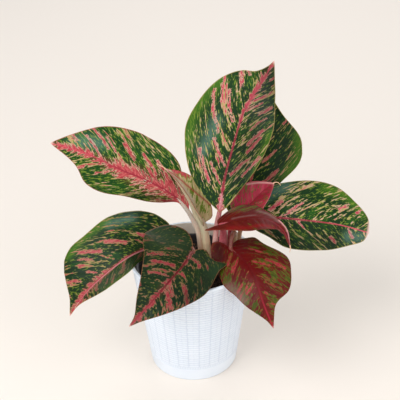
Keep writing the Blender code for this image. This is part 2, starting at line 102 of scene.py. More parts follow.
# Each leaf's shape, in millimetres and degrees, as in the frame. rib: points along the midrib, base to tip.
# faces: the way the upper side faces. left, right: the margins as (distance along the midrib, distance out).
# fold and curl: the tilt of each side about the midrib, and how much further it has turned at the margin.
# veins: how far a vein runs forward for each unit outwards, at the midrib, left and right.
# streaks: strokes listed here, beside those that vein_streaks adds: (kind, width, points), each point as
# (distance along the midrib, distance out, negative on the left).
# The strokes of sheen, bluish or grey, are painted reflections of the leaf's gloss, and the shade strokes are
# painted shade.
LEAVES = {
    "left_upper": dict(
        rib=[
            (-2, 24, 212), (-15, 24, 232), (-46, 18, 260),
            (-86, 14, 284), (-126, 13, 308), (-170, 20, 320),
        ],
        faces=[(-0.05, -0.8, 0.6), (-0.15, -0.78, 0.62)],
        left=[(20, 3), (39, 18), (57, 26), (92, 31), (122, 40), (145, 36), (169, 19)],
        right=[
            (15, 10), (36, 27), (49, 39), (70, 47), (100, 52), (128, 49), (150, 41), (174, 24), (200, 5),
        ],
        fold=(-22, 0), curl=(-8, -6), veins=(1.0, 1.05), midrib=(2.6, 1.2), look="green",
        heart=[(0, 16), (40, 15), (70, 13), (95, 10), (115, 8), (135, 5), (160, 4), (190, 3.5)],
        streaks=[
            ("bloom", 9, [(176, 9), (150, 18)]), ("shade", 6, [(30, -9), (60, -22), (90, -26)]),
        ],
    ),
    "top": dict(
        rib=[(37, 0, 226), (43, 16, 261), (54, 31, 299), (70, 46, 346), (91, 57, 377), (107, 64, 404)],
        faces=[(-0.05, -0.86, 0.5), (-0.1, -0.88, 0.45)],
        left=[(16, 20), (46, 47), (92, 64), (125, 57), (161, 39), (174, 28), (182, 13), (195, 3)],
        right=[(10, 10), (50, 32), (88, 43), (120, 46), (146, 40), (168, 26), (190, 10)],
        fold=(4, 24), curl=(-12, -6), veins=(1.05, 1.3), midrib=(3.0, 1.6), look="green",
        heart=[(0, 5), (25, 2.5), (60, 1), (110, 1.2), (140, 2.2), (165, 3.2), (190, 3)],
        streaks=[
            ("bloom", 8, [(70, -35), (110, -28)]), ("lime", 8, [(60, -56), (110, -60), (150, -44)]),
            ("lime", 6, [(60, 38), (120, 45)]),
            ("shade", 22, [(50, 18), (100, 24), (150, 22), (185, 8)]),
        ],
    ),
    "back": dict(
        rib=[(62, 40, 186), (76, 62, 222), (90, 84, 262), (99, 106, 299), (104, 122, 335)],
        faces=[(0, -0.8, 0.6), (0, -0.8, 0.6)],
        left=[(12, 20), (50, 42), (90, 50), (130, 36), (155, 14)],
        right=[(14, 16), (40, 28), (64, 38), (97, 56), (121, 51), (148, 22)],
        fold=(6, 6), curl=(-8, -16), veins=(1.0, 1.0), midrib=(2.4, 1.2), look="green",
        heart=[(0, 4), (60, 1.5), (176, 1)],
        streaks=[
            ("shade", 12, [(20, 22), (60, 34)]), ("lime", 7, [(60, 36), (97, 52), (125, 46)]),
        ],
    ),
    "right": dict(
        rib=[(71, 34, 197), (105, 22, 203), (145, 12, 204), (191, 8, 198), (230, 14, 181)],
        faces=[(0, -0.7, 0.7), (0.15, -0.7, 0.7)],
        left=[(6, 14), (20, 34), (44, 47), (80, 54), (115, 50), (140, 36), (164, 17)],
        right=[(13, 16), (33, 26), (56, 37), (90, 38), (120, 33), (146, 22), (163, 12)],
        fold=(2, -14), curl=(-10, -8), veins=(0.85, 0.95), midrib=(2.3, 1.3), look="green",
        heart=[(0, 3), (40, 2), (60, 1.2), (100, 0.8), (168, 0.6)],
        streaks=[
            ("bloom", 9, [(24, -26), (50, -42)]), ("bloom", 8, [(140, 12), (158, 8)]),
            ("lime", 7, [(100, -46), (130, -40), (155, -22)]),
            ("shade", 16, [(30, 20), (80, 28), (120, 22)]),
        ],
    ),
    "left_lower": dict(
        rib=[
            (-25, 4, 180), (-50, -10, 184), (-78, -32, 185),
            (-107, -47, 170), (-133, -55, 147), (-156, -58, 112),
        ],
        faces=[(-0.1, -0.72, 0.68), (-0.25, -0.75, 0.6)],
        left=[(10, 12), (43, 19), (80, 24), (117, 23), (135, 16), (158, 3)],
        right=[(-5, 24), (14, 45), (42, 59), (96, 59), (119, 58), (136, 49), (146, 34), (161, 13)],
        fold=(-56, -4), curl=(-6, -10), veins=(1.0, 0.6), midrib=(2.0, 1.4), look="green",
        heart=[(0, 1.5), (85, 1.5), (115, 5), (130, 4.5), (150, 3.5), (175, 4)],
        streaks=[
            ("bloom", 7, [(60, 50), (36, 46)]), ("lime", 6, [(60, 57), (100, 57), (125, 52)]),
            ("greyed", 12, [(20, -8), (70, -14), (120, -14)]),
            ("lime", 3, [(30, -17), (80, -23), (117, -22)]),
        ],
    ),
    "front_left": dict(
        rib=[(2, -18, 181), (-9, -44, 179), (-31, -80, 174), (-55, -108, 161), (-77, -120, 142)],
        faces=[(-0.1, -0.6, 0.8), (-0.12, -0.7, 0.7), (-0.2, -0.85, 0.5)],
        left=[(-7, 13), (8, 32), (8, 49), (20, 44), (56, 46), (82, 35), (103, 22), (124, 8)],
        right=[
            (-12, 6), (-22, 20), (-17, 40), (-3, 53), (18, 62),
            (44, 59), (62, 45), (80, 34), (107, 19), (127, 4),
        ],
        fold=(8, 24), curl=(-8, -10), veins=(0.45, 0.35), midrib=(2.8, 2.0), look="green",
        heart=[(0, 3), (40, 1.5), (60, 3), (75, 5), (88, 3.5), (110, 2.5), (140, 4)],
        streaks=[
            ("greyed", 24, [(0, 20), (10, 45), (25, 50)]), ("greyed", 14, [(20, -40), (40, -38)]),
            ("shade", 14, [(40, -36), (70, -32)]),
        ],
    ),
    "front_right": dict(
        rib=[(48, -14, 183), (64, -42, 184), (78, -76, 176), (87, -99, 156), (99, -108, 125)],
        faces=[(0, -0.45, 0.9), (0, -0.7, 0.7), (0.1, -0.9, 0.4)],
        left=[(-3, 16), (8, 32), (28, 34), (59, 49), (82, 42), (97, 33), (108, 14), (125, 5)],
        right=[(-12, 1), (-26, 7), (-22, 15), (-4, 26), (25, 34), (54, 38), (90, 26), (108, 14), (124, 4)],
        fold=(0, -8), curl=(-6, -8), veins=(0.7, 0.7), midrib=(2.4, 1.8), look="red",
        heart=[(-20, 20), (20, 16), (50, 14), (80, 9), (100, 4), (137, 3)],
        streaks=[
            ("shade", 8, [(-16, 8), (6, 18)]), ("greyed", 8, [(90, 24), (60, 34)]),
        ],
    ),
    "small_right": dict(
        rib=[(34, -26, 224), (60, -34, 237), (92, -46, 245), (112, -56, 235), (121, -62, 214)],
        faces=[(0, -0.2, 0.98), (0.1, -0.2, 0.95), (0.7, -0.4, 0.4)],
        left=[(-4, 14), (6, 26), (20, 34), (45, 29), (62, 16), (78, 9), (105, 4)],
        right=[(-8, 1), (-19, 2), (-12, 7), (4, 13), (34, 22), (60, 26), (78, 15), (88, 4), (106, 3)],
        fold=(-4, 14), curl=(-12, -20), veins=(0.8, 0.8), midrib=(2.2, 1.2), look="red",
        heart=[(-10, 14), (40, 9), (80, 4), (112, 2)],
        streaks=[
            ("cream", 4, [(10, -28), (45, -28)]), ("greyed", 2.5, [(50, -16), (80, -6)]),
            ("greyed", 1.5, [(20, -4), (50, -6)]), ("line", 4, [(20, 15), (50, 20), (80, 10)]),
            ("pale", 1.2, [(80, -8), (112, -2)]),
        ],
    ),
    "young_pink": dict(
        rib=[(59, 5, 213), (75, 12, 229), (91, 18, 244), (107, 25, 253)],
        faces=[(-0.2, -0.8, 0.55), (-0.2, -0.8, 0.55)],
        left=[(8, 18), (24, 26), (42, 21), (54, 11)],
        right=[(10, 14), (28, 24), (46, 20), (56, 11)],
        fold=(10, 42), curl=(0, 0), veins=(1.0, 1.0), midrib=(1.6, 1.0), look="young",
        heart=[(0, 12), (66, 12)],
        streaks=[
            ("shade", 7, [(24, 8), (52, 8)]), ("pale", 1.0, [(40, -20), (65, 0)]),
        ],
    ),
    "young_rolled": dict(
        rib=[(16, 13, 201), (5, 17, 228), (-5, 18, 247), (-18, 19, 267), (-31, 21, 280)],
        faces=[(0.6, -0.45, 0.6), (0.6, -0.45, 0.6)],
        left=[(3, 14), (14, 21), (28, 15), (42, 8), (76, 3)],
        right=[(3, 14), (30, 20), (64, 17), (86, 4)],
        fold=(25, 30), curl=(50, 30), veins=(1.2, 1.2), midrib=(1.4, 0.8), look="cream",
        heart=[(0, 1), (60, 2), (98, 6)],
        streaks=[
            ("line", 0.9, [(90, 0), (60, 5), (40, 10), (20, 18)]),
            ("greyed", 3, [(90, 0), (60, 0), (35, 0)]), ("cream", 4, [(14, 8), (34, 7), (48, 5)]),
            ("cream", 1.6, [(62, 9), (58, 12)]), ("cream", 2, [(40, 17), (30, 18)]),
            ("pink", 3.5, [(84, 5), (66, 13)]), ("pale", 1.2, [(98, 0), (88, -1)]),
        ],
    ),
}

# Each stalk, in millimetres: points from the mix up to the leaf's base, radius at foot and top, and colours.
STALKS = {
    "left_upper": (
        [(13, 19, 143), (12, 21, 165), (9, 23, 184), (4, 24, 198), (-2, 24, 211)],
        (4.4, 3.0), "cream",
    ),
    "top": ([(34, 11, 143), (31, 10, 165), (32, 9, 190), (34, 6, 209), (37, 0, 225)], (4, 3.0), "blush"),
    "back": ([(41, 22, 143), (46, 30, 160), (54, 38, 174), (61, 40, 184)], (3.5, 2.8), "olive"),
    "right": ([(60, 15, 143), (61, 20, 160), (65, 28, 182), (70, 33, 195)], (3.5, 2.6), "olive"),
    "left_lower": (
        [(8, 8, 143), (4, 9, 156), (-3, 8, 172), (-12, 6, 179), (-24, 4, 180)],
        (3.5, 2.6), "blush",
    ),
    "front_left": ([(18, -2, 143), (16, -5, 158), (10, -12, 173), (4, -17, 178)], (3.5, 2.2), "dusk"),
    "front_right": (
        [(51, 4, 143), (55, 6, 175), (56, 3, 192), (53, -6, 196), (49, -13, 188)],
        (4.4, 2.8), "olive",
    ),
    "small_right": ([(42, 9, 143), (41, 8, 176), (41, -4, 202), (36, -23, 219)], (6.4, 3.0), "magenta"),
    "young_pink": ([(50, 15, 143), (50, 15, 170), (51, 9, 196), (58, 5, 211)], (3.5, 2.4), "magenta"),
    "young_rolled": ([(24, 12, 143), (20, 12, 168), (18, 12, 187), (16, 13, 199)], (5.2, 5.0), "green"),
}
# The points of each dry thread at a leaf's tip.
THREADS = {
    "young_pink": [(105, 24, 252.4), (108, 25, 253.6), (112, 25, 253), (115, 24, 249.5)],
    "young_rolled": [(-29, 21, 278), (-32, 21, 281.5), (-36, 20, 284.5), (-40, 20, 287)],
    "small_right": [(120.5, -61.5, 216), (121, -62.2, 211), (120, -62.5, 206)],
}
PINK_SLOT = {"top", "small_right", "front_right", "young_pink"}


def srgb(red, green, blue):
    """A colour given in the usual 0 to 255 steps, as the linear values that a shader takes."""
    shares = (red / 255, green / 255, blue / 255)
    return tuple(c / 12.92 if c <= 0.04045 else ((c + 0.055) / 1.055) ** 2.4 for c in shares)


class Graph:
    """A material, built one node a call."""

    def __init__(self, name):
        self.material = bpy.data.materials.new(name)
        self.material.use_nodes = True
        self.tree = self.material.node_tree
        self.tree.nodes.clear()

    def put(self, socket, value):
        if isinstance(value, bpy.types.NodeSocket):
            self.tree.links.new(value, socket)
        elif socket.type == "RGBA":
            socket.default_value = (*value, 1)
        else:
            socket.default_value = value

    def node(self, kind, inputs=None, **settings):
        made = self.tree.nodes.new(f"ShaderNode{kind}")
        for key, value in settings.items():
            setattr(made, key, value)
        for key, value in (inputs or {}).items():
            self.put(made.inputs[key], value)
        return made

    def math(self, operation, *values):
        made = self.node("Math", operation=operation)
        for socket, value in zip(made.inputs, values):
            self.put(socket, value)
        return made.outputs[0]

    def times(self, first, second):
        return self.math("MULTIPLY", first, second)

    def plus(self, first, second):
        return self.math("ADD", first, second)

    def mix(self, share, first, second, blend="MIX"):
        made = self.node("Mix", data_type="RGBA", blend_type=blend)
        self.put(made.inputs[0], share)
        self.put(made.inputs[6], first)
        self.put(made.inputs[7], second)
        return made.outputs[2]

    def paint(self, share, colour, blend="MIX"):
        """Lays a colour over the one so far."""
        self.colour = self.mix(share, self.colour, colour, blend)

    def step(self, value, low, high):
        """0 below low, 1 above high, and a soft change between."""
        made = self.node("MapRange", {"Value": value, "From Min": low, "From Max": high})
        made.interpolation_type = "SMOOTHSTEP"
        return made.outputs[0]

    def stretch(self, vector, scale, shift=(0, 0, 0)):
        return self.node("Mapping", {"Vector": vector, "Scale": scale, "Location": shift}).outputs[0]

    def noise(self, vector, scale=1.0, detail=2.0, roughness=0.5, twist=0.0):
        inputs = {"Vector": vector, "Scale": scale, "Detail": detail, "Roughness": roughness}
        return self.node("TexNoise", {**inputs, "Distortion": twist}).outputs[0]

    def uv(self, name):
        return self.node("UVMap", uv_map=name).outputs[0]

    def field(self, name):
        return self.node("Attribute", attribute_name=name).outputs["Fac"]

    def place(self):
        return self.node("TexCoord").outputs["Object"]

    def bump(self, height, distance, strength=1.0):
        return self.node("Bump", {"Height": height, "Distance": distance, "Strength": strength}).outputs[0]

    def finish(self, roughness, normal=None, **sockets):
        shader = self.node("BsdfPrincipled", {"Base Color": self.colour, "Roughness": roughness})
        for key, value in sockets.items():
            self.put(shader.inputs[key.replace("_", " ")], value)
        if normal:
            self.put(shader.inputs["Normal"], normal)
        output = self.node("OutputMaterial")
        self.tree.links.new(shader.outputs[0], output.inputs[0])
        return self.material


def shown(name, data):
    """A new object in the scene."""
    made = bpy.data.objects.new(name, data)
    bpy.context.scene.collection.objects.link(made)
    return made


def piece(name, mesh, materials, slot, *nodes):
    """A shown object on the part's body, standing for these CAD nodes."""
    made = shown(name, mesh)
    for material in materials:
        mesh.materials.append(material)
    mesh.shade_smooth()
    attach(made, BODY)
    if nodes:
        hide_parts(*nodes)
    return made


def grid_mesh(name, points, wrap=False, fields=None, uvs=None):
    """A mesh over a grid of points, shape (columns, rows, 3). wrap joins the last column to the first."""
    columns, rows = points.shape[:2]
    index = np.arange(columns * rows).reshape(columns, rows)
    if wrap:
        index = np.vstack([index, index[:1]])
    quads = np.stack([index[:-1, :-1], index[1:, :-1], index[1:, 1:], index[:-1, 1:]], axis=-1).reshape(-1, 4)
    mesh = bpy.data.meshes.new(name)
    mesh.from_pydata(points.reshape(-1, 3).tolist(), [], quads.tolist())
    for key, values in (fields or {}).items():
        layer = mesh.attributes.new(key, "FLOAT", "POINT")
        layer.data.foreach_set("value", values.reshape(-1).astype(np.float32))
    corner = np.array([loop.vertex_index for loop in mesh.loops])
    for key, values in (uvs or {}).items():
        layer = mesh.uv_layers.new(name=key)
        layer.data.foreach_set("uv", values.reshape(-1, 2)[corner].astype(np.float32).reshape(-1))
    return mesh


def cleaned(mesh, distance=0.00002, outwards=True):
    """Joins points that lie on each other and, for a closed shape, faces everything outwards."""
    work = bmesh.new()
    work.from_mesh(mesh)
    bmesh.ops.remove_doubles(work, verts=work.verts, dist=distance)
    if outwards:
        bmesh.ops.recalc_face_normals(work, faces=work.faces)
    work.to_mesh(mesh)
    work.free()
    return mesh


def smooth(points, count):
    """count points, evenly spaced along a smooth curve that passes through the given ones."""
    knots = np.asarray(points, float)
    knots = np.vstack([2 * knots[0] - knots[1], knots, 2 * knots[-1] - knots[-2]])
    times = np.concatenate([[0], np.cumsum(np.sqrt(np.linalg.norm(np.diff(knots, axis=0), axis=1)))])
    fine = []
    for i in range(1, len(knots) - 2):
        t = np.linspace(times[i], times[i + 1], 24, endpoint=False)[:, None]

        def between(low, high, before, after):
            return ((times[high] - t) * before + (t - times[low]) * after) / (times[high] - times[low])

        first = between(i - 1, i, knots[i - 1], knots[i])
        second = between(i, i + 1, knots[i], knots[i + 1])
        third = between(i + 1, i + 2, knots[i + 1], knots[i + 2])
        lower = between(i - 1, i + 1, first, second)
        upper = between(i, i + 2, second, third)
        fine.append(between(i, i + 1, lower, upper))
    fine = np.vstack([*fine, knots[-2:-1]])
    length = np.concatenate([[0], np.cumsum(np.linalg.norm(np.diff(fine, axis=0), axis=1))])
    wanted = np.linspace(0, length[-1], count)
    return np.stack([np.interp(wanted, length, fine[:, axis]) for axis in range(fine.shape[1])], axis=-1)


def read(rows, share):
    """The values at these shares of the way through evenly spaced rows."""
    step = share * (len(rows) - 1)
    low = np.minimum(step.astype(int), len(rows) - 2)
    part = (step - low)[:, None]
    return rows[low] * (1 - part) + rows[low + 1] * part


class Leaf:
    """The surface of a leaf, measured by distance along its midrib and distance out from it."""

    def __init__(self, leaf):
        self.rib = smooth(np.array(leaf["rib"]) * MM, 65)
        self.length = np.linalg.norm(np.diff(self.rib, axis=0), axis=1).sum()
        self.faces = np.array(leaf["faces"], float)
        self.margins = [np.array([(0, 0), *leaf[side]]) * MM for side in ("left", "right")]
        self.fold = np.radians(leaf["fold"])
        self.curl = np.radians(leaf["curl"])

    def frame(self, along):
        """The midrib's point, the upper side's direction and the right-hand direction at this distance."""
        share = np.clip(along / self.length, 0, 1)
        run = read(np.gradient(self.rib, axis=0), share)
        run /= np.linalg.norm(run, axis=1)[:, None]
        point = read(self.rib, share) + run * (along - share * self.length)[:, None]
        up = read(self.faces, share)
        up -= (up * run).sum(axis=1)[:, None] * run
        up /= np.linalg.norm(up, axis=1)[:, None]
        return point, up, np.cross(run, up)

    def surface(self, along, out, side, lift):
        """Points at these distances, on the leaf's left (side 0) or right (side 1), raised by lift."""
        point, up, right = self.frame(along)
        sign = 1 if side else -1
        reach = self.margins[side][:, 1].max()
        tilt = self.fold[side] + self.curl[side] * out / (2 * reach)
        sideways = sign * (out * np.cos(tilt) - lift * np.sin(tilt))
        return point + sideways[:, None] * right + (out * np.sin(tilt) + lift * np.cos(tilt))[:, None] * up

    def half(self, side, rows, columns):
        """Distances along and out, and shares of the way to the margin, as grids of (columns, rows)."""
        margin = smooth([*self.margins[side], (self.length, 0)], rows + 1)
        start = np.linspace(0, self.length, rows + 1)
        share = np.linspace(0, 1, columns + 1)[:, None]
        along = start + share * (margin[:, 0] - start)
        return along, share * margin[:, 1], share + 0 * along


VEIN_CURVE = 10.5
STREAK_WIDTHS = (1.2, 2.4)
KINDS = ("pink", "cream", "bloom", "shade", "lime", "greyed", "pale", "line")


def vein_start(along, out, forward):
    """Where the vein through this point leaves the midrib."""
    return along - forward * out - VEIN_CURVE * out**2


def vein_streaks(shape, leaf, number, counts):
    """Pink and cream streaks, set by chance along the veins. counts: how many of each a side has."""
    chance = np.random.default_rng(70 + number)
    streaks = []
    for kind, count in zip(("pink", "cream"), counts):
        for side in (0, 1):
            sign = 1 if side else -1
            reach = shape.margins[side][:, 1].max()
            for place in range(count):
                start = shape.length * (0.04 + 0.8 * (place + chance.uniform(0.1, 0.9)) / count)
                inner = reach * chance.uniform(0.05, 0.5)
                outer = inner + reach * chance.uniform(0.15, 0.38)
                out = np.linspace(inner, outer, 3)
                along = start + leaf["veins"][side] * out + VEIN_CURVE * out**2
                points = [(a / MM, sign * o / MM) for a, o in zip(along, out)]
                streaks.append((kind, chance.uniform(*STREAK_WIDTHS), points))
    return streaks


def near(along, out, points, width):
    """1 on a line through these points of the leaf, falling away over its width."""
    spot = np.stack([along, out], axis=-1)
    best = np.full(along.shape, 1e9)
    for first, second in zip(points[:-1], points[1:]):
        first, second = np.array(first) * MM, np.array(second) * MM
        run = second - first
        part = np.clip(((spot - first) @ run) / (run @ run), 0, 1)
        best = np.minimum(best, np.linalg.norm(spot - first - part[..., None] * run, axis=-1))
    return np.exp(-((best / (width * MM)) ** 2))


def blade(name, leaf, number, materials):
    shape = Leaf(leaf)
    strokes = leaf["streaks"] + vein_streaks(shape, leaf, number, HABITS[name]["streaks"])
    grids = []
    for side in (0, 1):
        along, out, share = shape.half(side, BLADE_ROWS, BLADE_COLUMNS)
        start = vein_start(along, out, leaf["veins"][side])
        spacing = VEIN_SPACING + 0.7 * MM * (number % 3)
        wobble = 0.35 * np.sin(along * 70 + number) + 0.8 * side
        vein = (0.5 + 0.5 * np.cos(2 * math.pi * start / spacing + wobble)) ** 4
        body = np.clip(share * 6, 0, 1) * np.clip((1 - share) * 4, 0, 1)
        lift = -VEIN_DEPTH * vein * body
        lift += MARGIN_WAVE * share**1.5 * np.sin(along * 95 + number * 1.7 + 2 * side)
        lift += SIDE_WAVE * share * (1 - share) * 4 * np.sin(along * 55 + out * 60 + number)
        lift -= RIB_DEPTH * np.exp(-((out / (1.6 * MM)) ** 2))
        if name == "young_rolled" and side:
            lift += ROLL_RISE * near(along, out, leaf["streaks"][0][2], 1.6)
        if name == "left_upper" and side:
            line = CREASE_START + 3 * out
            lift -= CREASE_DEPTH * np.exp(-np.abs(along - line) / (7 * MM)) * np.clip(out / (8 * MM), 0, 1)
        lift *= np.clip((shape.length - along) / TIP_TAPER, 0, 1)
        rows = [shape.surface(a, o, side, h) for a, o, h in zip(along, out, lift)]
        signed = out if side else -out
        fields = {kind: np.zeros_like(along) for kind in KINDS}
        for kind, width, points in strokes:
            fields[kind] = np.maximum(fields[kind], near(along, signed, points, width))
        heart = np.interp(along / MM, *zip(*leaf["heart"])) * MM
        fields["heart"] = np.clip(1 - out / (1.8 * heart), 0, 1)
        fields["glow"] = np.interp(along / shape.length, (0, 0.1, 0.5, 0.8, 1), (0.5, 0.1, 0, 0.8, 1))
        widths = np.interp(along, (0, shape.length), leaf["midrib"]) * MM / 2
        fields["rib"] = out / widths
        fields["edge"] = (1 - share) * np.maximum(out[-1:], 1e-5) / (1.1 * MM)
        fields["tip"] = np.clip(1 - (shape.length - along) / (7 * MM), 0, 1)
        fields["vein"] = vein * body
        uv = np.stack([start / UV_SIZE + 0.3, signed / UV_SIZE + 0.5], axis=-1)
        inset = BLADE_THICKNESS / 2 + BOX_GAP
        low, high = (np.array(corner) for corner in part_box(f"leaf_{name}"))
        grids.append((np.clip(np.array(rows), low + inset, high - inset), fields, uv))
    left, right = grids

    def whole(left_half, right_half):
        return np.concatenate([left_half[:0:-1], right_half])

    points = whole(left[0], right[0])
    fields = {key: whole(left[1][key], right[1][key]) for key in left[1]}
    uvs = {"veins": whole(left[2], right[2])}
    mesh = grid_mesh(f"blade_{name}", points, fields=fields, uvs=uvs)
    cleaned(mesh, outwards=False)
    made = piece(f"blade_{name}", mesh, materials, f"leaf_{leaf['look']}", f"leaf_{name}")
    skin = made.modifiers.new("thickness", "SOLIDIFY")
    skin.thickness = BLADE_THICKNESS
    skin.offset = 0
    skin.material_offset = 1
    skin.material_offset_rim = 0
    return shape


def tones(**named):
    """Leaf colours as they look in daylight, less the soft white that a glossy leaf reflects."""
    return {key: tuple(max(c - GLOSS_VEIL, 0.0015) for c in srgb(*value)) for key, value in named.items()}


def leaf_material(name, colours, seed, habit, under=False):
    """A variegated leaf: flecks along the veins, pink in cream in lime, on a ground of two tones."""
    g = Graph(name)
    veins = g.uv("veins")
    shift = (seed * 7.3, seed * 3.1, seed)

    def grain(along, across, *settings):
        return g.noise(g.stretch(veins, (along, across, 1), shift), 1, *settings)

    flecks = grain(36, 14, 2, 0.5, 0.9)
    ragged = grain(230, 170, 3, 0.6, 0.4)
    specks = grain(105, 70, 2, 0.45, 0.3)
    drift = grain(26, 9, 2, 0.5)
    patch = g.noise(g.stretch(veins, (20, 9, 1), (shift[1], shift[0], 0)), 1, 2, 0.5)
    heart = g.field("heart")

    def summed(start, *terms):
        for field, weight, middle in terms:
            start = g.plus(start, g.times(g.math("SUBTRACT", field, middle), weight))
        return start

    rise = summed(
        flecks,
        (specks, 0.5, 0.5),
        (ragged, 0.15, 0.5),
        (drift, 0.3, 0.5),
        (g.field("cream"), 0.15, 0),
        (heart, habit["push"], 0),
    )
    rise = g.plus(rise, habit["amount"])
    dots = summed(specks, (drift, -0.3, 0.5), (g.field("lime"), 0.03, 0), (heart, habit["push"] / 2, 0))
    raggedness = summed(0.0, (ragged, 1.4, 0.5), (specks, 2.8, 0.5), (flecks, 1.8, 0.5))
    pink = g.field("pink")
    streak = g.plus(pink, g.times(raggedness, g.step(pink, 0.02, 0.3)))
    strands = summed(0.0, (flecks, 3.4, 0.5), (specks, 2.0, 0.5))
    zone = g.plus(heart, g.times(strands, g.step(heart, 0.0, 0.3)))
    ground = g.mix(g.step(summed(patch, (specks, 0.15, 0.5)), 0.5, 0.7), colours["dark"], colours["mid"])
    ground = g.mix(g.times(g.field("lime"), 0.6), ground, colours["lime_zone"])
    ground = g.mix(g.times(g.field("vein"), 0.25), ground, colours["mid"])
    ground = g.mix(g.times(heart, habit["heart"]), ground, colours["heart"])
    g.colour = g.mix(g.step(dots, 0.635 - habit["dots"], 0.675 - habit["dots"]), ground, colours["lime"])
    g.paint(g.step(rise, 0.55, 0.57), colours["lime"])
    warmth = summed(specks, (heart, 0.45, 0), (pink, 0.35, 0), (drift, 0.6, 0.5))
    creams = g.mix(g.step(warmth, 0.5, 0.64), colours["cream"], colours["light"])
    g.paint(g.step(rise, 0.585, 0.61), creams)
    redness = summed(pink, (heart, 1, 0), (drift, 1.5, 0.5), (rise, 2.5, 0.62 - 0.4 * habit["blush"]))
    redness = g.step(redness, 0.25, 0.5)
    pinks = g.mix(g.step(specks, 0.42, 0.62), colours["pink"], colours["deep"])
    g.paint(g.times(redness, g.step(rise, 0.62, 0.65)), pinks)
    g.paint(g.step(streak, 0.24, 0.32), creams)
    g.paint(g.step(streak, 0.5, 0.72), pinks)
    if habit["push"] > 0:
        g.paint(g.step(zone, 0.4, 0.5), creams)
        g.paint(g.step(zone, 0.56, 0.74), pinks)
    # Painted reflection: a grey sheen laid over the leaf where its gloss shone.
    g.paint(g.times(g.field("greyed"), 0.55), colours["grey"])
    g.paint(g.times(g.field("line"), 0.9), colours["line"])
    ribs = summed(g.field("rib"), (ragged, 0.9, 0.5))
    rib = g.math("SUBTRACT", 1.0, g.step(ribs, 0.8, 1.2))
    rib_colour = g.mix(g.field("glow"), colours["rib"], colours["rib_bright"])
    g.paint(g.times(rib, 0.88), rib_colour)
    edge = g.math("SUBTRACT", 1.0, g.step(g.plus(g.field("edge"), g.times(drift, 0.6)), 0.7, 1.3))
    g.paint(g.times(edge, 0.75), colours["edge"])
    # Painted shade: the leaf is darkened, by multiplying, where it lies in shade.
    g.paint(g.times(g.field("shade"), 0.8), colours["shade"], "MULTIPLY")
    # Painted reflection: where the leaf's gloss shone, a sheen colour is laid on the ground between the
    # flecks.
    bloom = g.times(g.field("bloom"), g.step(g.math("SUBTRACT", 1.0, rise), 0.4, 0.5))
    g.paint(g.times(bloom, 0.32), colours["bloom"])
    pale = g.math("MAXIMUM", g.field("pale"), g.step(g.field("tip"), 0.25, 0.9))
    g.paint(pale, colours["tip"])
    if under:
        g.paint(0.6, colours["under"])
        g.paint(g.times(g.field("vein"), 0.35), colours["under_vein"])
        g.paint(rib, colours["under_rib"])
    rough = g.plus(0.55 if under else 0.36, g.times(ragged, 0.14))
    cells = grain(700, 700, 1, 0.5)
    height = summed(cells, (ragged, 2.0, 0.5), (flecks, 2.0, 0.5))
    normal = g.bump(height, 0.00006, 0.6)
    return g.finish(rough, normal, Specular_IOR_Level=0.2)


GLOSS_VEIL = 0.010
# In each palette, the sheen colours are painted reflections and the shade colour is the tint multiplied in as
# painted shade.
GREEN = tones(
    dark=(16, 52, 14), mid=(38, 82, 22), lime_zone=(76, 122, 20), lime=(114, 134, 48),
    cream=(180, 162, 104), light=(202, 160, 138), pink=(202, 104, 110), deep=(182, 62, 78),
    heart=(128, 62, 52), rib=(146, 44, 58), line=(150, 50, 58), rib_bright=(202, 76, 92),
    edge=(170, 150, 88), tip=(226, 190, 180), bloom=(120, 158, 146), grey=(74, 92, 64),
    shade=(152, 160, 140), under=(112, 130, 88), under_vein=(140, 152, 110), under_rib=(204, 174, 156),
)
LIGHT = dict(GREEN, **tones(
    dark=(24, 66, 16), mid=(52, 96, 28), lime=(116, 136, 52), cream=(174, 156, 98),
    light=(200, 160, 136), edge=(176, 96, 76), pink=(196, 92, 92),
    deep=(164, 58, 64), heart=(134, 60, 50), lime_zone=(104, 130, 50),
))
# A darker copy of the green palette, as painted shade for leaves that face away from the light or lie under
# others.
SHADED_GREEN = dict(GREEN, **tones(
    dark=(15, 46, 12), mid=(30, 64, 18), lime=(94, 112, 40), cream=(146, 132, 80),
    light=(168, 124, 96), pink=(180, 92, 90), deep=(158, 62, 68), rib=(150, 56, 62),
))
# Darker and duller: partly the leaf's own duller, browner colouring, partly painted shade for a leaf that
# faces away from the light.
SHADED_DULL_GREEN = dict(GREEN, **tones(
    dark=(20, 44, 12), mid=(36, 56, 20), lime=(84, 90, 42), cream=(124, 94, 66), light=(140, 100, 80),
    pink=(156, 68, 70), deep=(138, 48, 54), heart=(92, 48, 40), rib=(100, 34, 38),
    rib_bright=(150, 54, 62), grey=(56, 74, 52), edge=(130, 86, 58), lime_zone=(60, 76, 34),
))
RED = dict(GREEN, **tones(
    dark=(88, 26, 20), mid=(108, 40, 30), lime_zone=(96, 66, 30), lime=(92, 76, 34),
    cream=(64, 76, 18), light=(86, 92, 32), pink=(168, 62, 66), deep=(140, 40, 48),
    heart=(104, 18, 22), rib=(92, 16, 20), rib_bright=(160, 40, 56), line=(126, 18, 28),
    edge=(124, 56, 44), tip=(210, 150, 146), bloom=(132, 96, 92), grey=(136, 104, 98),
    shade=(150, 140, 140), under=(140, 84, 78), under_vein=(160, 100, 90), under_rib=(186, 116, 110),
))
YOUNG = dict(RED, **tones(
    dark=(166, 46, 66), mid=(186, 66, 86), lime=(92, 88, 40), cream=(86, 86, 36), light=(112, 104, 50),
    pink=(196, 88, 104), deep=(182, 64, 82), heart=(134, 30, 38), rib=(128, 28, 38),
    rib_bright=(150, 46, 58), edge=(200, 100, 108), under=(178, 96, 98), shade=(200, 168, 168),
))
